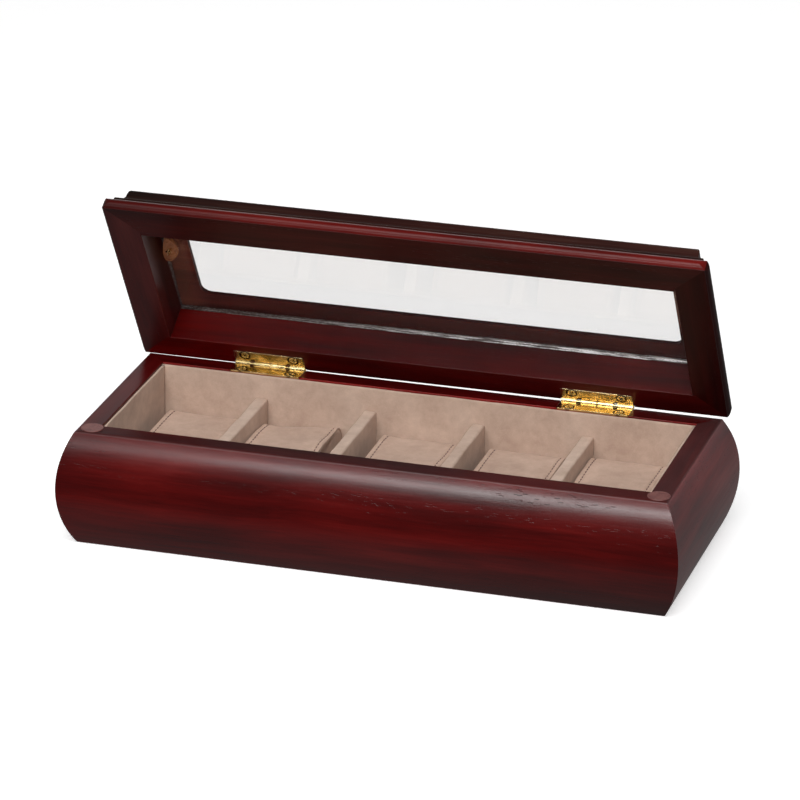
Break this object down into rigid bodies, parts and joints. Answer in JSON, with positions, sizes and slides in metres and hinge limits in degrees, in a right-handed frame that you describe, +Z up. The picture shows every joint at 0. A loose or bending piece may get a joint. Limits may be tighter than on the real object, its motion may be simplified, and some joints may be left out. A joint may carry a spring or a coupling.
{
  "type": "watch display box",
  "caption": "Hinged wooden display box for wrist watches, with bowed sides, a moulded lid with a glass window, suede-lined compartments and lift-out pillows.",
  "frame": {"origin": "centre of the body's footprint, on the surface that the box stands on", "axes": "+X to the right along the box's length, +Y to the hinge side, +Z up"},
  "size_m": [0.3162, 0.1333, 0.162],
  "materials": {
    "cherry_wood": "satin lacquered, dark cherry-mahogany stain",
    "plywood": "bare plywood",
    "base_felt": "dark brown felt",
    "lining_suede": "taupe suede on card",
    "pillow_suede": "taupe suede, topstitched",
    "foam": "open-cell foam",
    "bumper": "soft translucent mauve-brown dot",
    "polished_brass": "bright polished",
    "clip_plastic": "brown moulded plastic",
    "glass": "clear, seamed edges"
  },
  "bodies": {
    "base": {"front_board": "cherry_wood", "back_board": "cherry_wood", "left_end_board": "cherry_wood", "right_end_board": "cherry_wood", "bottom_panel": "plywood", "base_felt": "base_felt", "floor_lining": "lining_suede", "front_lining": "lining_suede", "rear_lining": "lining_suede", "left_lining": "lining_suede", "right_lining": "lining_suede", "divider_1": "lining_suede", "divider_2": "lining_suede", "divider_3": "lining_suede", "divider_4": "lining_suede", "rim_bumper_left": "bumper", "rim_bumper_right": "bumper", "hinge_base_leaf_left": "polished_brass", "hinge_base_leaf_right": "polished_brass", "hinge_pin_left": "polished_brass", "hinge_pin_right": "polished_brass", "base_hinge_screws": "polished_brass"},
    "lid": {"lid_front_rail": "cherry_wood", "lid_rear_rail": "cherry_wood", "lid_left_rail": "cherry_wood", "lid_right_rail": "cherry_wood", "lid_top_plate": "cherry_wood", "glass_pane": "glass", "glass_clip": "clip_plastic", "glass_clip_screw": "polished_brass", "hinge_lid_leaf_left": "polished_brass", "hinge_lid_leaf_right": "polished_brass", "lid_hinge_screws": "polished_brass"},
    "pillow_1": {"pillow_1_cover": "pillow_suede", "pillow_1_foam": "foam"},
    "pillow_2": {"pillow_2_cover": "pillow_suede", "pillow_2_foam": "foam"},
    "pillow_3": {"pillow_3_cover": "pillow_suede", "pillow_3_foam": "foam"},
    "pillow_4": {"pillow_4_cover": "pillow_suede", "pillow_4_foam": "foam"},
    "pillow_5": {"pillow_5_cover": "pillow_suede", "pillow_5_foam": "foam"}
  },
  "joints": [
    {"name": "lid_hinge", "type": "hinge", "parent": "base", "child": "lid", "pos_m": [0, 0.056, 0.05977], "axis": [-1, 0, 0], "range_deg": [-59.3, 28]},
    {"name": "pillow_1_lift", "type": "slide", "parent": "base", "child": "pillow_1", "axis": [0, 0, 1], "range_m": [0, 0.055]},
    {"name": "pillow_2_lift", "type": "slide", "parent": "base", "child": "pillow_2", "axis": [0, 0, 1], "range_m": [0, 0.055]},
    {"name": "pillow_3_lift", "type": "slide", "parent": "base", "child": "pillow_3", "axis": [0, 0, 1], "range_m": [0, 0.055]},
    {"name": "pillow_4_lift", "type": "slide", "parent": "base", "child": "pillow_4", "axis": [0, 0, 1], "range_m": [0, 0.055]},
    {"name": "pillow_5_lift", "type": "slide", "parent": "base", "child": "pillow_5", "axis": [0, 0, 1], "range_m": [0, 0.055]}
  ]
}
